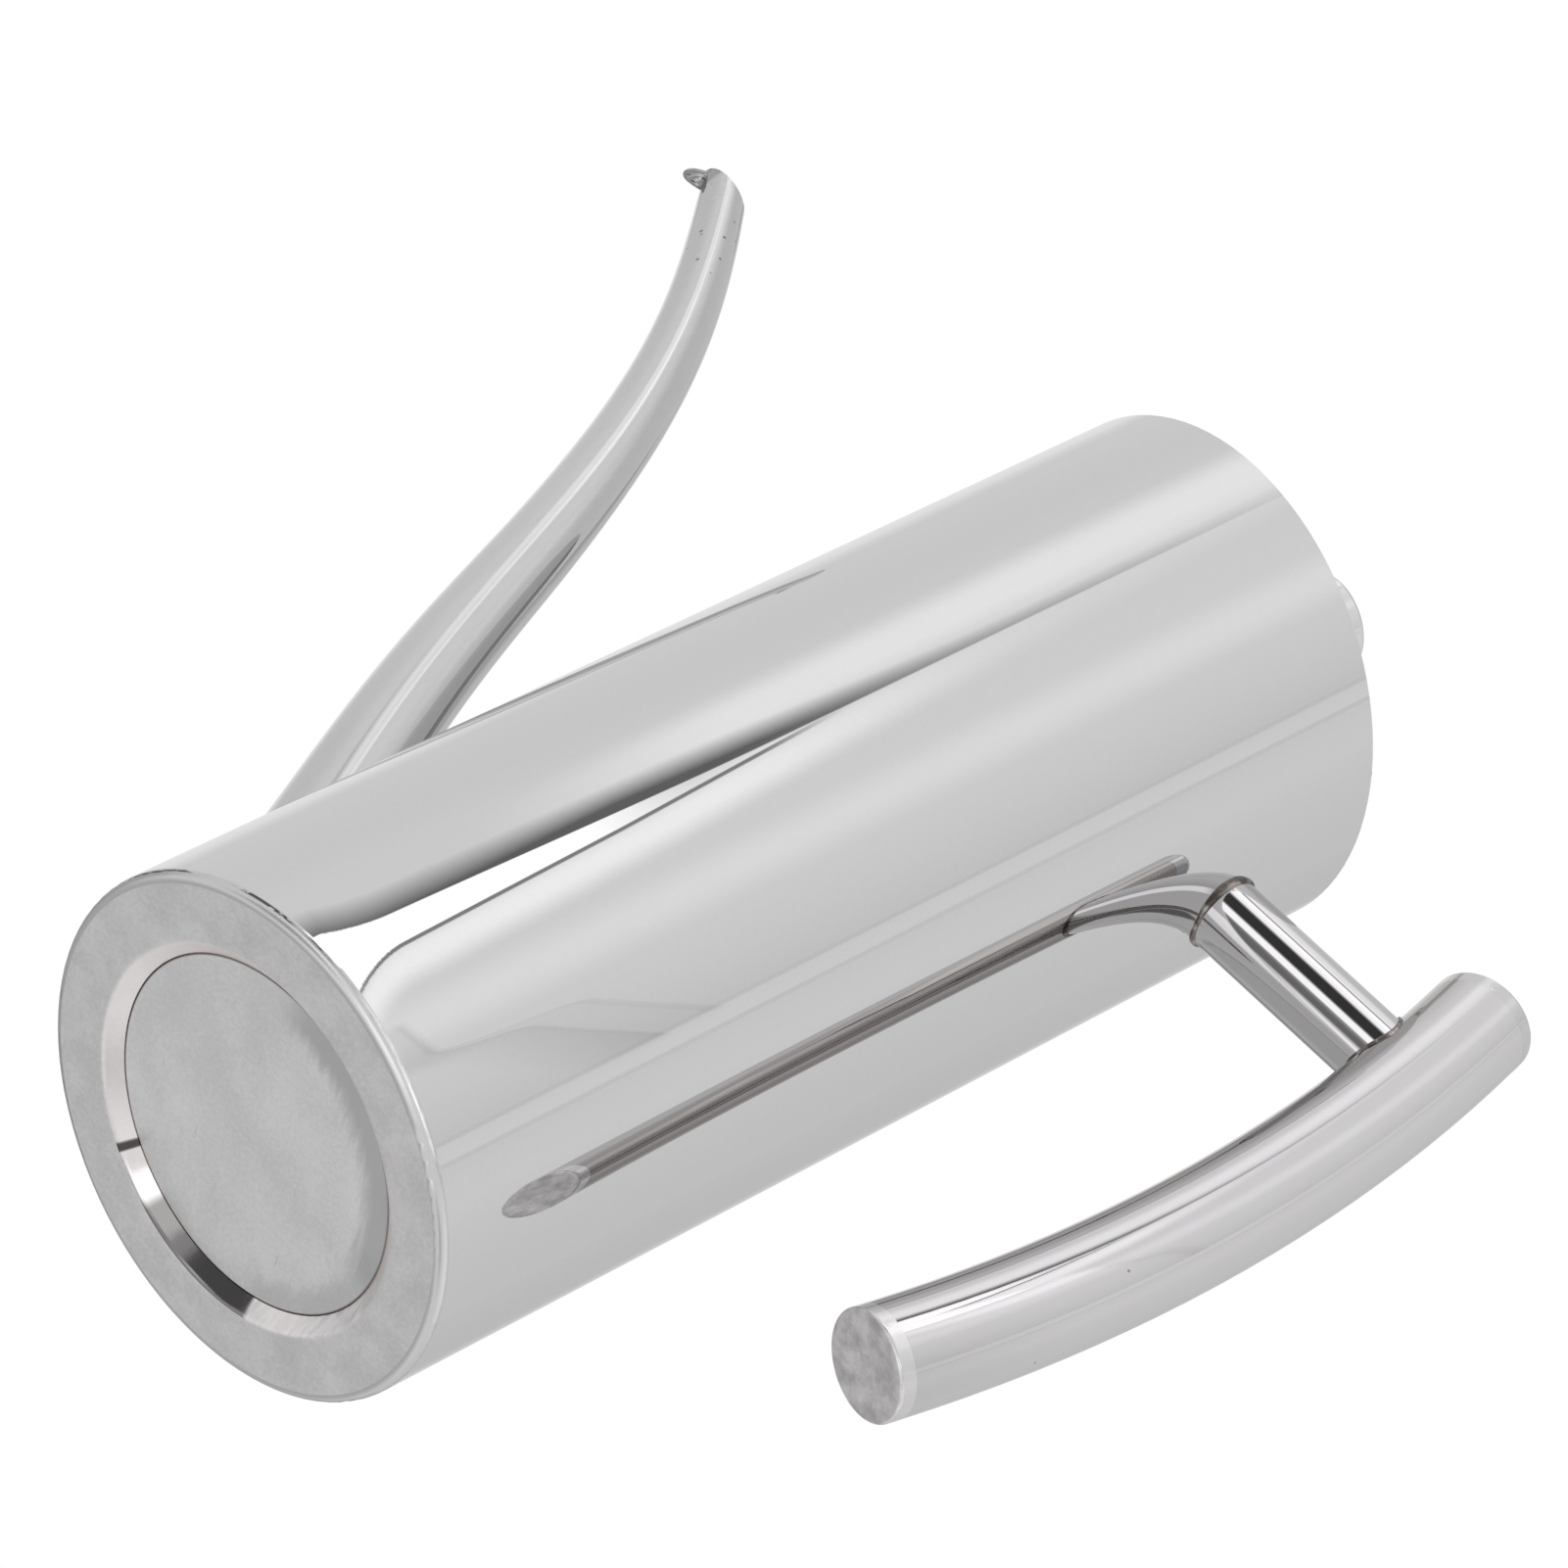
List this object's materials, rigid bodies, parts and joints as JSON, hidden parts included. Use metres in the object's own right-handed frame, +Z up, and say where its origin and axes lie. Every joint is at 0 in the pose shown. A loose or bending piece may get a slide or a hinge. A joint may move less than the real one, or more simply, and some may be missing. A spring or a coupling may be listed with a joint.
{
  "type": "oil dispenser",
  "caption": "Tall cylindrical steel oil can with a gooseneck pouring spout, a bowed bar handle on a post, a sloping top and a hinged filler lid with a knob.",
  "frame": {"origin": "centre of the resting face at the bottom of the body, on the body's axis", "axes": "+Z up along the body, spout towards -X, handle towards +X, XZ is the plane of symmetry"},
  "size_m": [0.2034, 0.075, 0.2116],
  "materials": {
    "body_steel": "mirror polished stainless steel",
    "base_steel": "satin stainless steel with fine linishing marks",
    "disc_steel": "satin stainless steel with rubbed marks",
    "spout_steel": "bright polished stainless steel",
    "weld_steel": "ground weld bead",
    "handle_steel": "mirror polished stainless steel tube",
    "cap_steel": "ground stainless end cap",
    "deck_steel": "satin stainless steel plate",
    "lid_steel": "polished pressed stainless steel",
    "hinge_steel": "tumbled stainless steel strip",
    "pin_steel": "plain stainless steel",
    "knob_steel": "turned and polished stainless steel",
    "seal_silicone": "translucent white food grade silicone"
  },
  "bodies": {
    "can": {"body_shell": "body_steel", "base_ring": "base_steel", "base_disc": "disc_steel", "spout_tube": "spout_steel", "spout_weld": "weld_steel", "handle_post": "handle_steel", "post_weld": "weld_steel", "handle_bar": "handle_steel", "bar_weld": "weld_steel", "handle_cap_upper": "cap_steel", "handle_cap_lower": "cap_steel", "top_deck": "deck_steel", "filler_collar": "lid_steel", "hinge_bracket": "hinge_steel", "hinge_pin": "pin_steel"},
    "lid": {"lid_cap": "lid_steel", "lid_seal": "seal_silicone", "hinge_leaf": "hinge_steel", "leaf_rivets": "pin_steel", "knob": "knob_steel", "knob_washer": "pin_steel", "knob_screw": "pin_steel"}
  },
  "joints": [
    {"name": "lid_hinge", "type": "hinge", "parent": "can", "child": "lid", "pos_m": [0.03007, 0, 0.18545], "axis": [0, 1, 0], "range_deg": [0, 105]}
  ]
}
